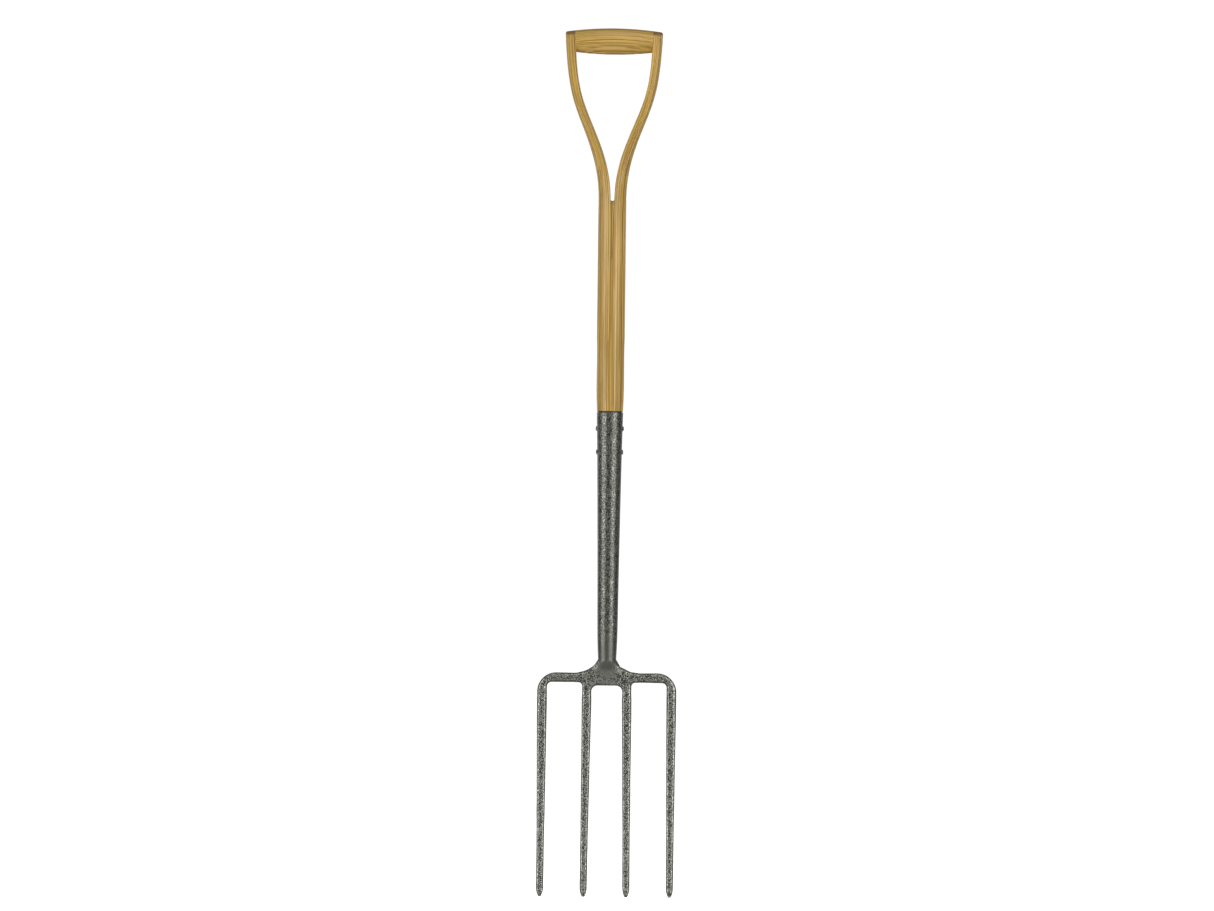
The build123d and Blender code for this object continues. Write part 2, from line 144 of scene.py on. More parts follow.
def fused_head():
    """The crosshead and its four tines as one skin of small, even faces."""
    joined = bmesh.new()
    joined.from_mesh(NODES["crosshead"].data)
    for name in TINES:
        joined.from_mesh(overlapping_tine(name))
    bmesh.ops.remove_doubles(joined, verts=joined.verts, dist=WELD)
    mesh = bpy.data.meshes.new("joined_head")
    joined.to_mesh(mesh)
    joined.free()
    holder = bpy.data.objects.new("joined_head", mesh)
    bpy.context.scene.collection.objects.link(holder)
    remesh = holder.modifiers.new("skin", "REMESH")
    remesh.mode = "VOXEL"
    remesh.voxel_size = HEAD_DETAIL
    holder.modifiers.new("ease", "SMOOTH").iterations = EASE_PASSES
    graph = bpy.context.evaluated_depsgraph_get()
    fused = bpy.data.meshes.new_from_object(holder.evaluated_get(graph))
    bpy.data.objects.remove(holder)
    return fused


# The right of the neck is welded up and ground in flats, where the left is a smooth hollow.
# The corners of the ground outline are pairs of x and z.
NECK_R = CROSSHEAD_HIGH.y
GROUND_CORNERS = [(NECK_R, SOCKET_SEAM_Z - 0.5 * MM), (17.5 * MM, 295.6 * MM),
                  (30.3 * MM, 288.9 * MM), (OUTER_SEAM_X, SHOULDER_TOP_Z)]
GROUND_START_X = 12.4 * MM
GROUND_FOOT_Z = 277 * MM
GROUND_STEP = 0.4 * MM


def grind_right_side(points):
    """Raises the hollow on the right of the neck to the ground outline."""
    stations = np.arange(GROUND_START_X, OUTER_SEAM_X, GROUND_STEP)
    above = points[points[:, 2] > INNER_SEAM_Z]
    tops = [above[abs(above[:, 0] - x) < GROUND_STEP, 2].max() for x in stations]
    rise = np.interp(stations, *zip(*GROUND_CORNERS)) - np.array(tops)
    lift = np.interp(points[:, 0], stations, rise, left=0, right=0)
    lift *= smooth((points[:, 2] - GROUND_FOOT_Z) / (SHOULDER_TOP_Z - GROUND_FOOT_Z))
    points[:, 2] += lift


# Patches of slanting file marks: centre x and z, half size, slope of the marks.
FILE_MARKS = [(-15.5 * MM, 295 * MM, 5.5 * MM, 1.0), (-21 * MM, 289 * MM, 4.5 * MM, 0.8),
              (28 * MM, 286.5 * MM, 5 * MM, 1.1), (17 * MM, 293 * MM, 4.5 * MM, -0.9)]
FILE_PITCH = 2.3 * MM
FILE_DEPTH = 0.16 * MM
FILE_FADE = 1.6

# Uneven forged skin: length and depth of its waves. It dies out towards the socket.
FORGE_WAVES = [(26 * MM, 0.16 * MM), (9 * MM, 0.07 * MM), (4.2 * MM, 0.035 * MM)]
QUIET_LENGTH = 7 * MM


def file_marks(points):
    """Height of the file marks at each point."""
    height = np.zeros(len(points))
    for x, z, size, slope in FILE_MARKS:
        reach = np.hypot(points[:, 0] - x, points[:, 2] - z) / size
        across = (points[:, 2] - slope * points[:, 0]) / math.hypot(1, slope)
        fade = smooth(FILE_FADE * (1 - reach))
        height += FILE_DEPTH * fade * np.sin(math.tau * across / FILE_PITCH)
    return height


def forged_relief(points):
    """Height of the uneven forged skin at each point."""
    height = np.zeros(len(points))
    for length, depth in FORGE_WAVES:
        height += depth * np.array([noise.noise(Vector(p / length)) for p in points])
    quiet = smooth((SOCKET_SEAM_Z - points[:, 2]) / QUIET_LENGTH)
    return (height + file_marks(points)) * quiet


def keep_inside(points):
    """Holds the points inside the CAD box."""
    low, high = np.array(CAD_BOX[0]), np.array(CAD_BOX[1])
    return np.clip(points, low, high)


# Edges shorter than this are closed along a cut.
SLIVER = 0.06 * MM


def cut(mesh, name, planes):
    """The part of the mesh on the positive side of all planes, with its cuts closed."""
    part = bmesh.new()
    part.from_mesh(mesh)
    for point, normal in planes:
        everything = part.verts[:] + part.edges[:] + part.faces[:]
        bmesh.ops.bisect_plane(part, geom=everything, dist=SLIVER, plane_co=point,
                               plane_no=normal, clear_inner=True)
        bmesh.ops.remove_doubles(part, verts=[v for v in part.verts if v.is_boundary], dist=SLIVER)
        rim = [e for e in part.edges if e.is_boundary]
        caps = bmesh.ops.holes_fill(part, edges=rim)["faces"]
        bmesh.ops.triangulate(part, faces=caps)
        for edge in rim:
            edge.smooth = False
    for face in part.faces:
        face.smooth = True
    result = bpy.data.meshes.new(name)
    part.to_mesh(result)
    part.free()
    return result


# Swell in the middle of a flat face, and the length over which it sets in.
CROWN = 0.55 * MM
CROWN_EASE = 12 * MM


def crown(points):
    """Swells the flat faces of the tines a little along their middles, as forging leaves them."""
    down = np.clip((INNER_SEAM_Z - points[:, 2]) / INNER_SEAM_Z, 0, 1)
    side = np.sign(points[:, 0])
    outer = abs(points[:, 0]) > OUTER_SEAM_X
    middle = np.where(outer, OUTER_MIDDLE_X, INNER_MIDDLE_X + (INNER_TIP_X - INNER_MIDDLE_X) * down)
    half = BAR_HALF + (TIP_HALF - BAR_HALF) * down
    off = abs(side * points[:, 0] - middle) / half
    below = smooth((INNER_SEAM_Z - points[:, 2]) / CROWN_EASE)
    swell = CROWN * np.clip(1 - off ** 2, 0, 1) * below
    bars = outer & (abs(points[:, 0]) < OUTER_MIDDLE_X)
    bar_off = abs(points[:, 2] - BAR_MIDDLE_Z) / BAR_HALF
    level = smooth((BAR_END_X - abs(points[:, 0])) / CROWN_EASE)
    swell += CROWN * np.clip(1 - bar_off ** 2, 0, 1) * level * bars
    return swell


# The skin's rounding takes more off the tines' sides at their points and at the inner roots.
SIDE_GAIN = 0.18 * MM
POINT_GAIN = 0.32 * MM
POINT_GAIN_Z = 90 * MM
ROOT_GAIN = 0.22 * MM
ROOT_GAIN_Z = 150 * MM


def fullness(points):
    """How far the tines' sides are pushed out, to make up for the rounding of their skin."""
    z = points[:, 2]
    inner = abs(points[:, 0]) < OUTER_SEAM_X
    gain = SIDE_GAIN + POINT_GAIN * smooth((POINT_GAIN_Z - z) / POINT_GAIN_Z)
    gain += ROOT_GAIN * inner * smooth((z - ROOT_GAIN_Z) / (INNER_SEAM_Z - ROOT_GAIN_Z))
    return gain * smooth((INNER_SEAM_Z - z) / CROWN_EASE)


SIDE_LIMIT = 2 / 3


def facing_out(way):
    """1 where the skin looks to the front or the back, 0 on the sides."""
    return np.clip((abs(way[:, 1]) - SIDE_LIMIT) / (1 - SIDE_LIMIT), 0, 1)


# Heights over which the neck's rim and its round front settle, and where that front ends sideways.
NECK_EASE = 3 * MM
NECK_RUN = 15 * MM
NECK_INSIDE = 4 * MM
NECK_FRONT_END = 0.97
NECK_FRONT_FADE = 0.35


def true_neck(points):
    """Brings the rim of the neck back to the radius of the socket that it meets, and lets the
    front and back of the neck set off as round as the socket."""
    round_r = np.hypot(points[:, 0], points[:, 1])
    near = smooth((points[:, 2] - SOCKET_SEAM_Z + NECK_EASE) / NECK_EASE) * (round_r > NECK_R - MM)
    points[:, :2] *= 1 + (near * (NECK_R / np.maximum(round_r, MM) - 1))[:, None]
    off = abs(points[:, 0]) / NECK_R
    front = smooth((NECK_FRONT_END - off) / NECK_FRONT_FADE)
    front *= smooth((points[:, 2] - SOCKET_SEAM_Z + NECK_RUN) / NECK_RUN)
    outward = np.sign(points[:, 1]) * NECK_R * np.sqrt(np.clip(1 - off ** 2, 0, 1))
    points[:, 1] += front * (abs(points[:, 1]) > NECK_INSIDE) * (outward - points[:, 1])


# The hub is the flat middle of the crosshead, under the neck.
HUB_REACH_X = 24 * MM
HUB_REACH_Z = 14 * MM
HUB_Z = SOCKET_SEAM_Z - HUB_REACH_Z
HUB_FALLOFF = 2.5
HUB_PASSES = 160


def soften_hub(mesh, points):
    """Lets the round neck run into the flat hub, moving their faces in depth only."""
    edges = np.empty(len(mesh.edges) * 2, np.int32)
    mesh.edges.foreach_get("vertices", edges)
    first, second = edges.reshape(-1, 2).T
    near = (abs(points[:, 0]) < HUB_REACH_X) & (abs(points[:, 2] - HUB_Z) < HUB_REACH_Z)
    inner = near[first] & near[second]
    first, second = first[inner], second[inner]
    count = np.bincount(first, minlength=len(points)) + np.bincount(second, minlength=len(points))
    reach = np.hypot(points[:, 0] / HUB_REACH_X, (points[:, 2] - HUB_Z) / HUB_REACH_Z)
    weight = smooth(HUB_FALLOFF * (1 - reach)) * near
    depth = points[:, 1].copy()
    for _ in range(HUB_PASSES):
        total = np.bincount(first, depth[second], len(points))
        total += np.bincount(second, depth[first], len(points))
        depth += weight * (total / np.maximum(count, 1) - depth)
    points[:, 1] = depth


def make_head():
    """Five seamless pieces of forged steel, one for each CAD node of the head."""
    skin = fused_head()
    points = coordinates(skin)
    grind_right_side(points)
    soften_hub(skin, points)
    true_neck(points)
    set_coordinates(skin, points)
    way = normals(skin)
    height = forged_relief(points) + crown(points) * facing_out(way)
    level = fullness(points)[:, None] * way
    level[:, 2] = 0
    points += way * height[:, None] + level
    set_coordinates(skin, keep_inside(points))
    floor_cut = ((0, 0, INNER_SEAM_Z), (0, 0, -1))
    pieces = {}
    for side, word in ((-1, "left"), (1, "right")):
        beyond = ((side * OUTER_SEAM_X, 0, 0), (side, 0, 0))
        within = ((side * OUTER_SEAM_X, 0, 0), (-side, 0, 0))
        half = ((0, 0, 0), (side, 0, 0))
        pieces[word + "_outer_tine"] = cut(skin, word + "_outer_tine_forged", [beyond])
        pieces[word + "_inner_tine"] = cut(skin, word + "_inner_tine_forged",
                                           [within, half, floor_cut])
    pieces["crosshead"] = cut(skin, "crosshead_forged", [
        ((OUTER_SEAM_X, 0, 0), (-1, 0, 0)), ((-OUTER_SEAM_X, 0, 0), (1, 0, 0)),
        ((0, 0, INNER_SEAM_Z), (0, 0, 1)), ((0, 0, SOCKET_SEAM_Z), (0, 0, -1))])
    bpy.data.meshes.remove(skin)
    return [new_piece("forged_" + node, mesh, "hammered_paint", node)
            for node, mesh in pieces.items()]


# ---------------------------------------------------------------- material helpers
class Shader:
    """A material under construction. add() makes a node with its settings and inputs."""

    def __init__(self, name):
        self.material = bpy.data.materials.new(name)
        self.material.use_nodes = True
        self.tree = self.material.node_tree
        self.tree.nodes.clear()

    def add(self, kind, inputs=None, **settings):
        node = self.tree.nodes.new("ShaderNode" + kind)
        for key, value in settings.items():
            setattr(node, key, value)
        for key, value in (inputs or {}).items():
            if isinstance(value, bpy.types.NodeSocket):
                self.tree.links.new(value, node.inputs[key])
            else:
                node.inputs[key].default_value = value
        return node

    def place(self):
        """Coordinates in metres, from the origin of the model, which all pieces share."""
        return self.add("TexCoord").outputs["Object"]

    def math(self, operation, a, b=0.0, c=0.0):
        return self.add("Math", {0: a, 1: b, 2: c}, operation=operation).outputs[0]

    def scaled(self, vector, scale, shift=(0, 0, 0)):
        """The vector times a scale for each axis, plus a shift."""
        return self.add("VectorMath", {0: vector, 1: scale, 2: shift},
                        operation="MULTIPLY_ADD").outputs[0]

    def noise(self, vector, scale=1.0, detail=2.0, roughness=0.5):
        return self.add("TexNoise", {"Vector": vector, "Scale": scale, "Detail": detail,
                                     "Roughness": roughness}).outputs["Fac"]

    def noise_1d(self, value, scale, detail):
        return self.add("TexNoise", {"W": value, "Scale": scale, "Detail": detail},
                        noise_dimensions="1D").outputs["Fac"]

    def ramp(self, value, low, high, to_low=0.0, to_high=1.0):
        return self.add("MapRange", {"Value": value, "From Min": low, "From Max": high,
                                     "To Min": to_low, "To Max": to_high},
                        interpolation_type="SMOOTHSTEP").outputs["Result"]

    def line(self, value, middle, width):
        """1 where the value is at the middle, falling to 0 at a width from it."""
        away = self.math("ABSOLUTE", self.math("SUBTRACT", value, middle))
        return self.ramp(away, width, 0.0)

    def blend(self, amount, a, b, mode="MIX"):
        return self.add("Mix", {"Factor": amount, "A": a, "B": b}, data_type="RGBA",
                        blend_type=mode).outputs["Result"]

    def finish(self, **inputs):
        """Principled shader and output. Keywords are socket names with _ for each space."""
        shader = self.add("BsdfPrincipled", {k.replace("_", " "): v for k, v in inputs.items()})
        self.add("OutputMaterial", {"Surface": shader.outputs[0]})
        return self.material


def paint(thing, material):
    """Gives an object one material in all its slots."""
    slots = thing.data.materials
    if not slots:
        slots.append(material)
    for number in range(len(slots)):
        slots[number] = material


# ---------------------------------------------------------------- materials
LATE_WOOD_PALE = (0.815, 0.530, 0.166, 1)
LATE_WOOD_BROWN = (0.700, 0.458, 0.093, 1)
FIBRE_BROWN = (0.430, 0.250, 0.045, 1)
EARLY_WOOD = (0.225, 0.115, 0.016, 1)
PORE_BROWN = (0.130, 0.065, 0.015, 1)
# Brown of the glue lines, also used for the stain and painted shade at the socket's mouth.
GLUE_AND_SHADE_BROWN = (0.060, 0.032, 0.012, 1)
END_GRAIN = (0.215, 0.120, 0.036, 1)

# Rates of the wood's patterns, in waves per metre across the grain, in depth and along it.
DRIFT_RATES = (24, 24, 2)
WANDER_RATES = (120, 120, 12)
PATCH_RATES = (85, 85, 10)
FIBRE_RATES = (800, 260, 6)
STREAK_RATES = (430, 150, 3)
PORE_RATES = (1900, 1900, 48)
THIN_LINE_RATE = 3100.0

# Growth rings: rings per metre, how uneven their widths are, their lean, and how far they wander.
RING_RATE = 330.0
UNEVEN_RATE = 650.0
RING_UNEVEN = 2.2
RING_LEAN = 0.14
RING_DRIFT = 5 * MM
RING_WANDER = 1.2 * MM
SEED_SHIFT = (0.31, 0.17, 0.53)
WOOD_RELIEF = 0.15 * MM


def across_rings(shader, place, split):
    """Distance across the growth rings, which lean a little and wander along the grain."""
    slow = shader.noise(shader.scaled(place, DRIFT_RATES))
    wander = shader.noise(shader.scaled(place, WANDER_RATES))
    across = shader.math("MULTIPLY_ADD", slow, RING_DRIFT, split.outputs["X"])
    across = shader.math("MULTIPLY_ADD", split.outputs["Y"], RING_LEAN, across)
    return shader.math("MULTIPLY_ADD", wander, RING_WANDER, across)


def early_wood(shader, across):
    """1 in the early part of each ring, and less in the rings that are weak."""
    uneven = shader.math("MULTIPLY", shader.noise_1d(across, UNEVEN_RATE, 1.0), RING_UNEVEN)
    ring = shader.math("MULTIPLY_ADD", across, RING_RATE, uneven)
    phase = shader.math("FRACT", ring)
    early = shader.math("MULTIPLY", shader.ramp(phase, 0.0, 0.10), shader.ramp(phase, 0.44, 0.16))
    strength = shader.noise_1d(shader.math("FLOOR", ring), 0.73, 2.0)
    return shader.math("MULTIPLY", early, shader.ramp(strength, 0.34, 0.60, 0.35, 1.0))


def ash_wood(name, grain, seed, finishing=None):
    """Varnished ash. The fibres run along the third axis of the grain vector, in metres, and the
    growth rings have brown pores in their early part. finishing(shader, tone) may add marks."""
    shader = Shader(name)
    place = shader.scaled(grain(shader), (1, 1, 1), [seed * shift for shift in SEED_SHIFT])
    split = shader.add("SeparateXYZ", {0: place})
    across = across_rings(shader, place, split)
    early = early_wood(shader, across)
    follow = shader.add("CombineXYZ", {"X": across, "Y": split.outputs["Y"],
                                       "Z": split.outputs["Z"]}).outputs[0]
    fibres = shader.noise(shader.scaled(follow, FIBRE_RATES), 1.0, 2.0, 0.6)
    streaks = shader.noise(shader.scaled(follow, STREAK_RATES))
    thin_lines = shader.noise_1d(across, THIN_LINE_RATE, 0.0)
    patches = shader.noise(shader.scaled(place, PATCH_RATES))
    pores = shader.noise(shader.scaled(place, PORE_RATES), 1.0, 3.0, 0.6)
    pore_lines = shader.math("MULTIPLY", shader.ramp(pores, 0.54, 0.66),
                             shader.math("MULTIPLY_ADD", early, 0.8, 0.2))

    tone = shader.blend(shader.ramp(patches, 0.34, 0.66), LATE_WOOD_BROWN, LATE_WOOD_PALE)
    tone = shader.blend(shader.ramp(fibres, 0.45, 0.58, 0.0, 0.85), tone, FIBRE_BROWN)
    tone = shader.blend(shader.ramp(thin_lines, 0.56, 0.68, 0.0, 0.62), tone, EARLY_WOOD)
    tone = shader.blend(shader.ramp(streaks, 0.52, 0.62, 0.0, 0.38), tone, EARLY_WOOD)
    tone = shader.blend(shader.math("MULTIPLY", early, 0.90), tone, EARLY_WOOD)
    tone = shader.blend(shader.math("MULTIPLY", pore_lines, 0.62), tone, PORE_BROWN)
    if finishing:
        tone = finishing(shader, tone)

    relief = shader.math("MULTIPLY_ADD", pore_lines, -0.8, shader.math("MULTIPLY", early, -0.5))
    relief = shader.math("MULTIPLY_ADD", fibres, 0.25, relief)
    bump = shader.add("Bump", {"Strength": 0.4, "Distance": WOOD_RELIEF, "Height": relief})
    gloss = shader.math("MULTIPLY_ADD", pore_lines, 0.16, shader.ramp(fibres, 0.3, 0.7, 0.36, 0.46))
    return shader.finish(Base_Color=tone, Roughness=gloss, Normal=bump.outputs[0], Coat_Weight=0.15,
                         Coat_Roughness=0.25, Specular_IOR_Level=0.4)


SLOT_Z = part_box("throat_wedge")[0].z
THROAT_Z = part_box("throat_wedge")[1].z
MOUTH_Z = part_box("socket")[1].z
ARM_TOP_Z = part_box("shaft")[1].z

# Middle line of the bent arms in mm: height over the start of the bend, distance from the axis.
ARM_MIDDLE = [(0.0, 9.6), (40.0, 10.4), (84.8, 15.2), (126.2, 28.9), (167.5, 44.8), (208.8, 53.2),
              (260.0, 56.6)]
ARM_MIDDLE_START_Z = THROAT_Z - 40 * MM
CURVE_SPAN = 100.0


def arm_grain(shader):
    """Grain that follows the shaft and then its two arms: the arms' bend is taken off X."""
    split = shader.add("SeparateXYZ", {0: shader.place()})
    curve = shader.add("FloatCurve")
    points = curve.mapping.curves[0].points
    reach = ARM_MIDDLE[-1][0]
    for number, (rise, middle) in enumerate(ARM_MIDDLE):
        at = (rise / reach, (middle - ARM_MIDDLE[0][1]) / CURVE_SPAN)
        if number < len(points):
            points[number].location = at
        else:
            points.new(*at)
    curve.mapping.update()
    height = shader.math("SUBTRACT", split.outputs["Z"], ARM_MIDDLE_START_Z)
    height = shader.math("MAXIMUM", height, 0.0)
    shader.tree.links.new(shader.math("MULTIPLY", height, 1 / (reach * MM)), curve.inputs["Value"])
    bend = shader.math("MULTIPLY", curve.outputs[0], CURVE_SPAN * MM)
    side = shader.math("SIGN", split.outputs["X"])
    straight = shader.math("SUBTRACT", split.outputs["X"], shader.math("MULTIPLY", side, bend))
    return shader.add("CombineXYZ", {"X": straight, "Y": split.outputs["Y"],
                                     "Z": split.outputs["Z"]}).outputs[0]


# Rise of the grain in metres, one metre from the middle of the grip.
GRIP_ARCH = 1.1


def grip_grain(shader):
    """Grain along the grip, with a slight arch."""
    split = shader.add("SeparateXYZ", {0: shader.place()})
    arch = shader.math("MULTIPLY", shader.math("POWER", split.outputs["X"], 2.0), GRIP_ARCH)
    return shader.add("CombineXYZ", {"X": shader.math("ADD", split.outputs["Z"], arch),
                                     "Y": split.outputs["Y"], "Z": split.outputs["X"]}).outputs[0]


# Pairs say where a mark begins and where it is at full strength.
SLOT_HALF_FOOT = 0.5 * MM
SLOT_HALF_THROAT = 2.25 * MM
GLUE_WIDTH = 0.6 * MM
STAIN_AND_SHADE_HEIGHT = (2.0 * MM, 1.1 * MM)
NOTCH_DEPTH = (7 * MM, 3 * MM)
NOTCH_HALF = (3.4 * MM, 2.2 * MM)
END_GRAIN_DEPTH = (9 * MM, 4 * MM)
BLOTCH_RATE = 900.0


def glue_lines(shader, x, z):
    """1 on the two glue lines of the wedge, which draw together towards its foot."""
    up = shader.math("DIVIDE", shader.math("SUBTRACT", z, SLOT_Z), THROAT_Z - SLOT_Z)
    half = shader.math("MULTIPLY_ADD", up, SLOT_HALF_THROAT - SLOT_HALF_FOOT, SLOT_HALF_FOOT)
    glue = shader.line(shader.math("SUBTRACT", x, half), 0.0, GLUE_WIDTH)
    glue = shader.math("MULTIPLY", glue, shader.ramp(up, 0.0, 0.12))
    return shader.math("MULTIPLY", glue, shader.ramp(up, 1.04, 0.98))


def throat_marks(shader, tone):
    """Glue lines of the wedge, a dark line at the socket's mouth that is partly stain and partly painted
    shade where the wood goes into the socket, and the darker end grain at the bottom of the notch and on
    the tops of the arms."""
    place = shader.add("SeparateXYZ", {0: shader.place()})
    x = shader.math("ABSOLUTE", place.outputs["X"])
    z = place.outputs["Z"]
    tone = shader.blend(shader.math("MULTIPLY", glue_lines(shader, x, z), 0.8), tone, GLUE_AND_SHADE_BROWN)
    # Dark line at the socket's mouth: partly stain, partly painted shade in the gap where the wood meets
    # the socket.
    stain_and_shade = shader.ramp(z, MOUTH_Z + STAIN_AND_SHADE_HEIGHT[0], MOUTH_Z + STAIN_AND_SHADE_HEIGHT[1])
    tone = shader.blend(shader.math("MULTIPLY", stain_and_shade, 0.92), tone, GLUE_AND_SHADE_BROWN)
    blotches = shader.noise(shader.place(), BLOTCH_RATE, 3.0, 0.6)
    notch = shader.math("MULTIPLY", shader.ramp(z, THROAT_Z - NOTCH_DEPTH[0], THROAT_Z - NOTCH_DEPTH[1]),
                        shader.ramp(x, *NOTCH_HALF))
    notch = shader.math("MULTIPLY", notch, shader.ramp(blotches, 0.35, 0.6, 0.2, 0.85))
    tone = shader.blend(notch, tone, END_GRAIN)
    facing = shader.add("SeparateXYZ", {0: shader.add("NewGeometry").outputs["Normal"]})
    top = shader.ramp(z, ARM_TOP_Z - END_GRAIN_DEPTH[0], ARM_TOP_Z - END_GRAIN_DEPTH[1])
    top = shader.math("MULTIPLY", top, shader.ramp(facing.outputs["Z"], 0.25, 0.7))
    top = shader.math("MULTIPLY", top, shader.ramp(blotches, 0.3, 0.6, 0.55, 0.95))
    return shader.blend(top, tone, END_GRAIN)


PAINT_DARK = (0.084, 0.085, 0.079, 1)
PAINT_PALE = (0.400, 0.407, 0.349, 1)
PAINT_FLAKE = (0.420, 0.425, 0.370, 1)

# Paint pattern: how far it is bent, the cells per metre of its parts, and its depth.
BEND_RATE = 330.0
PAINT_BEND = (4 * MM, 4 * MM, 4 * MM)
CRATER_RATE = 500.0
NETWORK_RATE = 370.0
FLAKE_RATE = 1300.0
PAINT_RELIEF = 0.26 * MM

# The calm part of the paint, where the socket meets the crosshead.
CALM_Z = 305 * MM
CALM_HALF_X = 16 * MM
CALM_HALF_Z = 42 * MM
CALM_TONE = 0.46
CALM_STRENGTH = 0.85
CALM_RAG_RATE = 130.0
CALM_RAG = 0.6

# Painted light and shade: the paint's brightness on the socket (painted darker) and on the tines
# (painted paler), for how the lamps fall on them, and how much painted shade darkens the tines' edges.
SOCKET_PAINTED_SHADE = 0.64
TINE_PAINTED_LIGHT = 1.18
EDGE_PAINTED_SHADE = 0.45


def calm_part(shader, place):
    """How calm the paint is: 0 on most of it, up to CALM_STRENGTH round the foot of the socket."""
    from_middle = shader.scaled(place, (1 / CALM_HALF_X, 0, 1 / CALM_HALF_Z),
                                (0, 0, -CALM_Z / CALM_HALF_Z))
    far = shader.add("VectorMath", {0: from_middle}, operation="LENGTH").outputs["Value"]
    far = shader.math("MULTIPLY_ADD", shader.noise(place, CALM_RAG_RATE), CALM_RAG, far)
    return shader.math("MULTIPLY", shader.ramp(far, 1.5, 0.65), CALM_STRENGTH)


def painted_light_and_shade(shader, place):
    """Painted light and shade along the head: the paint is made darker on the socket, paler on the
    tines, and darker on the tines' edges, which turn away from the front.
    """
    z = shader.add("SeparateXYZ", {0: place}).outputs["Z"]
    # painted shade on the socket, painted light on the tines
    painted_light_level = shader.ramp(z, SOCKET_SEAM_Z + 5 * MM, SOCKET_SEAM_Z - 28 * MM, SOCKET_PAINTED_SHADE, TINE_PAINTED_LIGHT)
    facing = shader.add("SeparateXYZ", {0: shader.add("NewGeometry").outputs["Normal"]}).outputs["Y"]
    # painted shade on the sides of the tines
    edge = shader.ramp(shader.math("ABSOLUTE", facing), 0.92, 0.60)
    on_tines = shader.ramp(z, SOCKET_SEAM_Z - 8 * MM, SOCKET_SEAM_Z - 20 * MM)
    edge = shader.math("MULTIPLY", edge, on_tines)
    return shader.math("MULTIPLY", painted_light_level, shader.math("MULTIPLY_ADD", edge, -EDGE_PAINTED_SHADE, 1.0))


def hammered_paint(name):
    """Metallic hammered paint over forged steel: pale worms and craters, 1 to 3 mm across, in a
    dark grey-green ground. It is calmer where the socket meets the crosshead."""
    shader = Shader(name)
    place = shader.place()
    drift = shader.add("TexNoise", {"Vector": place, "Scale": BEND_RATE, "Detail": 1.0})
    bent = shader.add("VectorMath", {0: drift.outputs["Color"], 1: PAINT_BEND, 2: place},
                      operation="MULTIPLY_ADD").outputs[0]
    cells = shader.add("TexVoronoi", {"Vector": bent, "Scale": CRATER_RATE, "Smoothness": 0.5},
                       feature="SMOOTH_F1").outputs["Distance"]
    network = shader.add("TexVoronoi", {"Vector": bent, "Scale": NETWORK_RATE},
                         feature="DISTANCE_TO_EDGE").outputs["Distance"]
    broken = shader.ramp(shader.noise(place, CRATER_RATE, 1.0), 0.42, 0.54, 0.05, 1.0)
    worms = shader.math("MULTIPLY", shader.ramp(network, 0.24, 0.07), broken)
    fine = shader.noise(place, FLAKE_RATE)
    calm = calm_part(shader, place)
    pale = shader.math("MULTIPLY", shader.ramp(cells, 0.46, 0.24), 0.40)
    pale = shader.math("MAXIMUM", pale, worms)
    pale = shader.math("MULTIPLY_ADD", shader.math("SUBTRACT", CALM_TONE, pale), calm, pale)
    tone = shader.blend(pale, PAINT_DARK, PAINT_PALE)
    tone = shader.blend(shader.ramp(fine, 0.5, 0.72, 0.0, 0.2), tone, PAINT_FLAKE)
    # painted light and shade: darker on the socket and the tines' edges, paler on the tines
    tone = shader.add("VectorMath", {0: tone, "Scale": painted_light_and_shade(shader, place)},
                      operation="SCALE").outputs[0]
    height = shader.math("MULTIPLY_ADD", fine, 0.06, shader.math("MULTIPLY", pale, 0.8))
    bump = shader.add("Bump", {"Strength": 0.7, "Distance": PAINT_RELIEF, "Height": height})
    gloss = shader.math("MULTIPLY_ADD", calm, 0.2, shader.ramp(cells, 0.18, 0.58, 0.17, 0.27))
    return shader.finish(Base_Color=tone, Metallic=0.85, Roughness=gloss, Normal=bump.outputs[0],
                         Coat_Weight=0.3, Coat_Roughness=0.15)


STEEL_BRIGHT = (0.50, 0.49, 0.47, 1)
STEEL_DULL = (0.24, 0.22, 0.20, 1)
SCRATCH_RATES = (300, 5200, 5200)
SCRATCH_DEPTH = 0.1 * MM
OXIDE_RATE = 420.0


def bare_steel(name):
    """Turned and peened steel, with fine scratches and a little dull oxide."""
    shader = Shader(name)
    place = shader.place()
    scratch = shader.noise(shader.scaled(place, SCRATCH_RATES), 1.0, 3.0)
    oxide = shader.noise(place, OXIDE_RATE, 4.0, 0.6)
    tone = shader.blend(shader.ramp(oxide, 0.42, 0.66), STEEL_BRIGHT, STEEL_DULL)
    bump = shader.add("Bump", {"Strength": 0.3, "Distance": SCRATCH_DEPTH, "Height": scratch})
    gloss = shader.ramp(oxide, 0.35, 0.7, 0.30, 0.52)
    return shader.finish(Base_Color=tone, Metallic=1.0, Roughness=gloss, Normal=bump.outputs[0])


# ---------------------------------------------------------------- camera, light and floor
VIEW_DISTANCE = 14.0
VIEW_WIDTH = 1.5685
VIEW_CENTRE_X = -0.0032
VIEW_CENTRE_Z = 0.5681
VIEW_ROLL = math.radians(0.67)
VIEW_FAR = 80.0


def make_camera():
    camera = bpy.data.cameras.new("camera")
    camera.lens = camera.sensor_width * VIEW_DISTANCE / VIEW_WIDTH
    camera.clip_end = VIEW_FAR
    holder = bpy.data.objects.new("camera", camera)
    bpy.context.scene.collection.objects.link(holder)
    upright = Matrix.Rotation(math.radians(90), 4, "X") @ Matrix.Rotation(VIEW_ROLL, 4, "Z")
    holder.matrix_world = Matrix.Translation((VIEW_CENTRE_X, -VIEW_DISTANCE, VIEW_CENTRE_Z)) @ upright
    bpy.context.scene.camera = holder


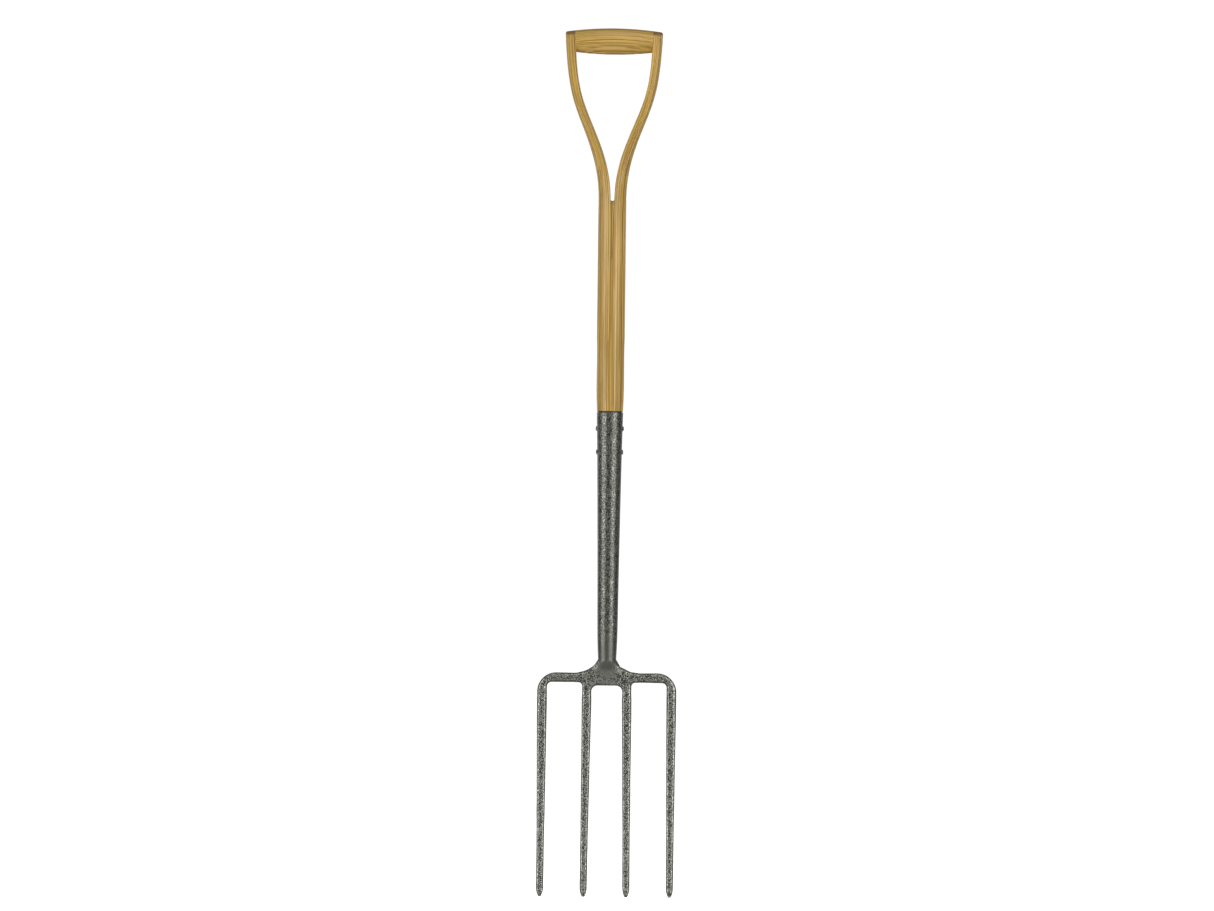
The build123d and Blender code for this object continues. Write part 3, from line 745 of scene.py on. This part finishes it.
# Softboxes: name, azimuth in degrees from the front to the right, height, distance, size, watts.
SOFTBOXES = [("left_softbox", -54, 0.8, 2.2, (1.6, 2.0), 27),
             ("right_softbox", 44, 0.8, 2.2, (1.6, 2.0), 28),
             ("top_softbox", 0, 2.9, 1.1, (1.6, 1.2), 12),
             ("left_rim_softbox", -142, 0.8, 2.4, (0.9, 2.0), 6),
             ("right_rim_softbox", 142, 0.8, 2.4, (0.9, 2.0), 3),
             ("back_softbox", 180, 1.4, 2.6, (2.4, 1.6), 10)]
LIGHT_AIM_Z = 0.55
WORLD_LIGHT = 0.15
BACKDROP = 1.05


def make_light(name, azimuth, height, distance, size, power):
    """A rectangular light beside the object, aimed at the middle of it."""
    light = bpy.data.lights.new(name, "AREA")
    light.shape = "RECTANGLE"
    light.size, light.size_y = size
    light.energy = power
    holder = bpy.data.objects.new(name, light)
    bpy.context.scene.collection.objects.link(holder)
    turn = math.radians(azimuth)
    place = Vector((distance * math.sin(turn), -distance * math.cos(turn), height))
    way = Vector((0, 0, LIGHT_AIM_Z)) - place
    holder.matrix_world = Matrix.Translation(place) @ way.to_track_quat("-Z", "Y").to_matrix().to_4x4()


def seen_or_lit(tree, seen, lit):
    """One shader for what the camera sees and another for what lights the object."""
    path = tree.nodes.new("ShaderNodeLightPath")
    either = tree.nodes.new("ShaderNodeMixShader")
    tree.links.new(path.outputs["Is Camera Ray"], either.inputs[0])
    tree.links.new(lit.outputs[0], either.inputs[1])
    tree.links.new(seen.outputs[0], either.inputs[2])
    return either


def make_studio():
    scene = bpy.context.scene
    scene.view_settings.view_transform = "Standard"
    world = bpy.data.worlds.new("studio")
    scene.world = world
    world.use_nodes = True
    tree = world.node_tree
    tree.nodes.clear()
    seen = tree.nodes.new("ShaderNodeBackground")
    seen.inputs["Strength"].default_value = BACKDROP
    lit = tree.nodes.new("ShaderNodeBackground")
    lit.inputs["Strength"].default_value = WORLD_LIGHT
    for background in (seen, lit):
        background.inputs["Color"].default_value = (1, 1, 1, 1)
    output = tree.nodes.new("ShaderNodeOutputWorld")
    tree.links.new(seen_or_lit(tree, seen, lit).outputs[0], output.inputs[0])
    for name, *setting in SOFTBOXES:
        make_light(name, *setting)
    make_floor()


FLOOR_SIDE = 60.0
FLOOR_TONES = (0.80, 0.82)
FLOOR_GLOW = 0.96
FLOOR_BOUNCE = (0.6, 0.6, 0.6, 1)


def make_floor():
    """A pale floor under the points."""
    shader = Shader("pale_floor")
    tone = shader.ramp(shader.noise(shader.place(), 3.0, 3.0), 0.3, 0.7, *FLOOR_TONES)
    colour = shader.add("CombineColor", {0: tone, 1: tone, 2: tone}).outputs[0]
    seen = shader.add("BsdfPrincipled", {"Base Color": colour, "Roughness": 0.9,
                                         "Specular IOR Level": 0.1, "Emission Color": (1, 1, 1, 1),
                                         "Emission Strength": FLOOR_GLOW})
    lit = shader.add("BsdfDiffuse", {"Color": FLOOR_BOUNCE})
    shader.add("OutputMaterial", {"Surface": seen_or_lit(shader.tree, seen, lit).outputs[0]})
    mesh = bpy.data.meshes.new("floor")
    corners = [(x * FLOOR_SIDE, y * FLOOR_SIDE, 0) for x, y in ((-1, -1), (1, -1), (1, 1), (-1, 1))]
    mesh.from_pydata(corners, [], [(0, 1, 2, 3)])
    mesh.materials.append(shader.material)
    holder = bpy.data.objects.new("floor", mesh)
    holder.location.z = CAD_BOX[0].z
    bpy.context.scene.collection.objects.link(holder)


# ---------------------------------------------------------------- assembly
PAINT = hammered_paint("hammered_paint")
for piece in make_head():
    paint(piece, PAINT)
for name in ("socket", "upper_socket_rivet", "lower_socket_rivet"):
    paint(NODES[name], PAINT)
WOOD = ash_wood("ash_shaft", arm_grain, 1, throat_marks)
for name in ("shaft", "throat_wedge"):
    paint(NODES[name], WOOD)
paint(NODES["grip"], ash_wood("ash_grip", grip_grain, 2))
STEEL = bare_steel("bare_steel")
for name in ("grip_rivet", "left_grip_washer", "right_grip_washer"):
    paint(NODES[name], STEEL)
make_studio()
make_camera()
